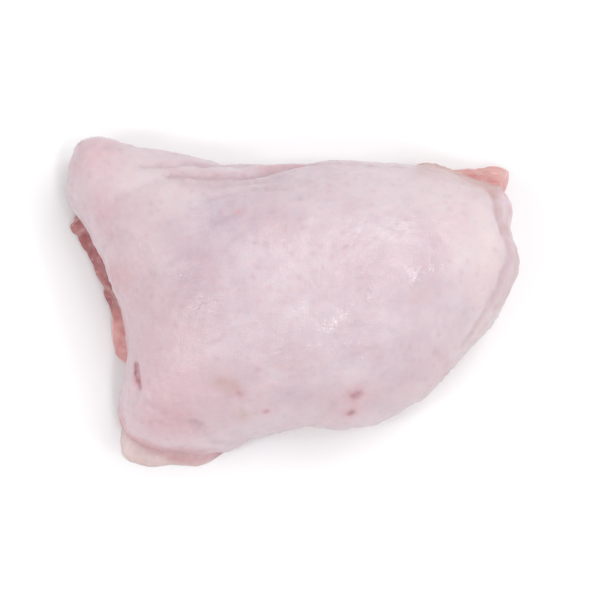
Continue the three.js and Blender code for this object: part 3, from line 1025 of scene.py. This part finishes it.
# %% Skin bumps
creased = node(tree, "ShaderNodeTexVoronoi", voronoi_dimensions="2D", feature="DISTANCE_TO_EDGE",
               Scale=1 / 1.15, Randomness=1.0)
flat_map = node(tree, "ShaderNodeAttribute", attribute_name="skin_map")
tree.links.new(flat_map.outputs["Vector"], creased.inputs["Vector"])
net = ramp(tree, creased.outputs["Distance"], 0.0, 0.22)
grain = noise_texture(tree, 0.55, 3)
wrinkle = noise_texture(tree, 2.2, 3, stretch=(0.5, 1.2, 1))
wet = read_point(tree, "wet")
beads = noise_texture(tree, 1.5, 1)
beading = calculate(tree, "MULTIPLY", wet, 1.6)
height = add_up(tree, ((net, 0.1), (wrinkle, 0.5), (grain, 0.2), (beads, beading)))
bump = node(tree, "ShaderNodeBump", Strength=0.7, Distance=0.34 * MM)
tree.links.new(height, bump.inputs["Height"])
tree.links.new(bump.outputs[0], shader.inputs["Normal"])
tree.links.new(bump.outputs[0], shader.inputs["Coat Normal"])
print("bump layers: 4")

# %% Skin gloss and the light inside it
dry = ramp(tree, mottle, 0.3, 0.7, 0.36, 0.48)
roughness = calculate(tree, "SUBTRACT", dry, calculate(tree, "MULTIPLY", wet, 0.16))
coat = calculate(tree, "ADD", calculate(tree, "MULTIPLY", wet, 0.75), 0.25)
tree.links.new(roughness, shader.inputs["Roughness"])
tree.links.new(coat, shader.inputs["Coat Weight"])
shader.inputs["Coat Roughness"].default_value = 0.06
shader.inputs["Subsurface Weight"].default_value = 0.35
shader.inputs["Subsurface Radius"].default_value = (1.0, 0.45, 0.35)
shader.inputs["Subsurface Scale"].default_value = 2.0 * MM
shader.inputs["IOR"].default_value = 1.4
for piece in (skin, flap):
    piece.data.materials.append(skin_material)
print("skin material nodes:", len(tree.nodes))

# %% [markdown]
# ## The flesh's finish
# Flesh is deeper in colour than the skin, wetter, and streaked along its fibres. Thin white
# sheets between the muscles show as pale films, mostly in the furrows. Down the hip side the bare
# flesh is darkened with painted shade.

# %% Flesh colour
flesh_material, tree, shader = start_material("poultry_flesh")
strands = noise_texture(tree, 1.1, 3, stretch=(0.12, 1, 1))
clouds = noise_texture(tree, 7, 3)
colour = tint(tree, linear(220, 169, 166), linear(207, 142, 141), ramp(tree, clouds, 0.35, 0.65))
# Painted shade: a deep red on the bare flesh down the hip side.
colour = tint(tree, colour, linear(148, 76, 82), calculate(
    tree, "MULTIPLY", read_point(tree, "side_shade"), ramp(tree, clouds, 0.3, 0.7, 0.6, 0.95)))
colour = tint(tree, colour, linear(214, 187, 187), calculate(
    tree, "MULTIPLY", read_point(tree, "film"), ramp(tree, clouds, 0.3, 0.7, 0.5, 0.9)))
colour = tint(tree, colour, linear(222, 168, 164), ramp(tree, strands, 0.5, 0.75, 0.0, 0.5))
colour = tint(tree, colour, linear(234, 200, 192), calculate(
    tree, "MULTIPLY", read_point(tree, "furrow"), ramp(tree, clouds, 0.3, 0.6, 0.0, 0.5)))
tree.links.new(colour, shader.inputs["Base Color"])
print("flesh colour layers: 5")

# %% Flesh surface
bump = node(tree, "ShaderNodeBump", Strength=0.5, Distance=0.4 * MM)
tree.links.new(add_up(tree, ((strands, 1.0), (clouds, 0.6))), bump.inputs["Height"])
tree.links.new(bump.outputs[0], shader.inputs["Normal"])
tree.links.new(ramp(tree, strands, 0.3, 0.7, 0.28, 0.42), shader.inputs["Roughness"])
shader.inputs["Subsurface Weight"].default_value = 0.4
shader.inputs["Subsurface Radius"].default_value = (1.0, 0.3, 0.22)
shader.inputs["Subsurface Scale"].default_value = 3 * MM
shader.inputs["IOR"].default_value = 1.4
shader.inputs["Coat Weight"].default_value = 0.35
shader.inputs["Coat Roughness"].default_value = 0.12
flesh.data.materials.append(flesh_material)
print("flesh material nodes:", len(tree.nodes))

# %% [markdown]
# ## Pieces stand for their solids
# Each fine mesh takes the place of the solid of the same name, and rides on the part's one
# body.

# %% Ride and replace
for piece, solid_name in ((skin, "skin"), (flap, "skin"), (flesh, "flesh")):
    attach(piece, "root")
    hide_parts(solid_name)
print("pieces:", skin.name, flap.name, flesh.name)

# %% [markdown]
# ## Floor and light
# A white floor and a white sky fill every shadow, as in a food catalogue. One broad soft lamp
# high over the far right side models the dome, and a weaker one over the near left side keeps
# the hip end from going grey.

# %% Floor
half = 2.0
floor_mesh = bpy.data.meshes.new("floor")
floor_mesh.from_pydata([(-half, -half, 0), (half, -half, 0), (half, half, 0), (-half, half, 0)],
                       [], [(0, 1, 2, 3)])
floor = bpy.data.objects.new("floor", floor_mesh)
bpy.context.scene.collection.objects.link(floor)
floor_material, _, floor_shader = start_material("white_floor")
floor_shader.inputs["Base Color"].default_value = (0.93, 0.925, 0.935, 1)
floor_shader.inputs["Roughness"].default_value = 0.6
floor_mesh.materials.append(floor_material)
print("floor side, m:", 2 * half)

# %% Lights
LIT = Vector((0, 0, 0.02))


def soft_light(name, place, size, power):
    data = bpy.data.lights.new(name, "AREA")
    data.shape = "DISK"
    data.size = size
    data.energy = power
    lamp = bpy.data.objects.new(name, data)
    lamp.location = place
    lamp.rotation_euler = (LIT - place).to_track_quat("-Z", "Y").to_euler()
    bpy.context.scene.collection.objects.link(lamp)
    return lamp


soft_light("far_side", Vector((0.5, 0.55, 1.05)), 0.8, 5.6)
soft_light("near_side", Vector((-0.85, -0.5, 0.85)), 1.0, 3.2)
print("broad lamps: far side and near side")

# %% [markdown]
# ## Lamps for the glints
# A photographer moves a softbox until its reflection sits where it should. Here the same is
# worked out: at each of the main wet patches, the line from the camera is mirrored on the
# skin's average direction, and a small softbox goes where that leads.

# %% Softboxes mirrored in the wet patches
GLINTS, GLINT_SIZE, GLINT_POWER = 4, 0.13, 0.85
skin_out = normals_of(outer)


def mirrored_at(x, y):
    close = (np.linalg.norm(outer[..., :2] - [x, y], axis=2) < 3.0) & (outer_u < 1)
    normal = Vector(skin_out[close].mean(axis=0)).normalized()
    to_eye = (EYE - Vector(outer[close].mean(axis=0)) * MM).normalized()
    return 2 * normal.dot(to_eye) * normal - to_eye


for x, y, *_ in WET[:GLINTS]:
    glint_lamp = soft_light("glint", mirrored_at(x, y), GLINT_SIZE, GLINT_POWER)
    print("a patch leads towards", [round(v, 2) for v in glint_lamp.location])

# %% Sky
SKY = 0.545
world = bpy.data.worlds.new("studio")
world.use_nodes = True
background = world.node_tree.nodes["Background"]
background.inputs["Color"].default_value = (1, 1, 1, 1)
background.inputs["Strength"].default_value = SKY
bpy.context.scene.world = world
bpy.context.scene.view_settings.view_transform = "Standard"
print("sky strength:", SKY)
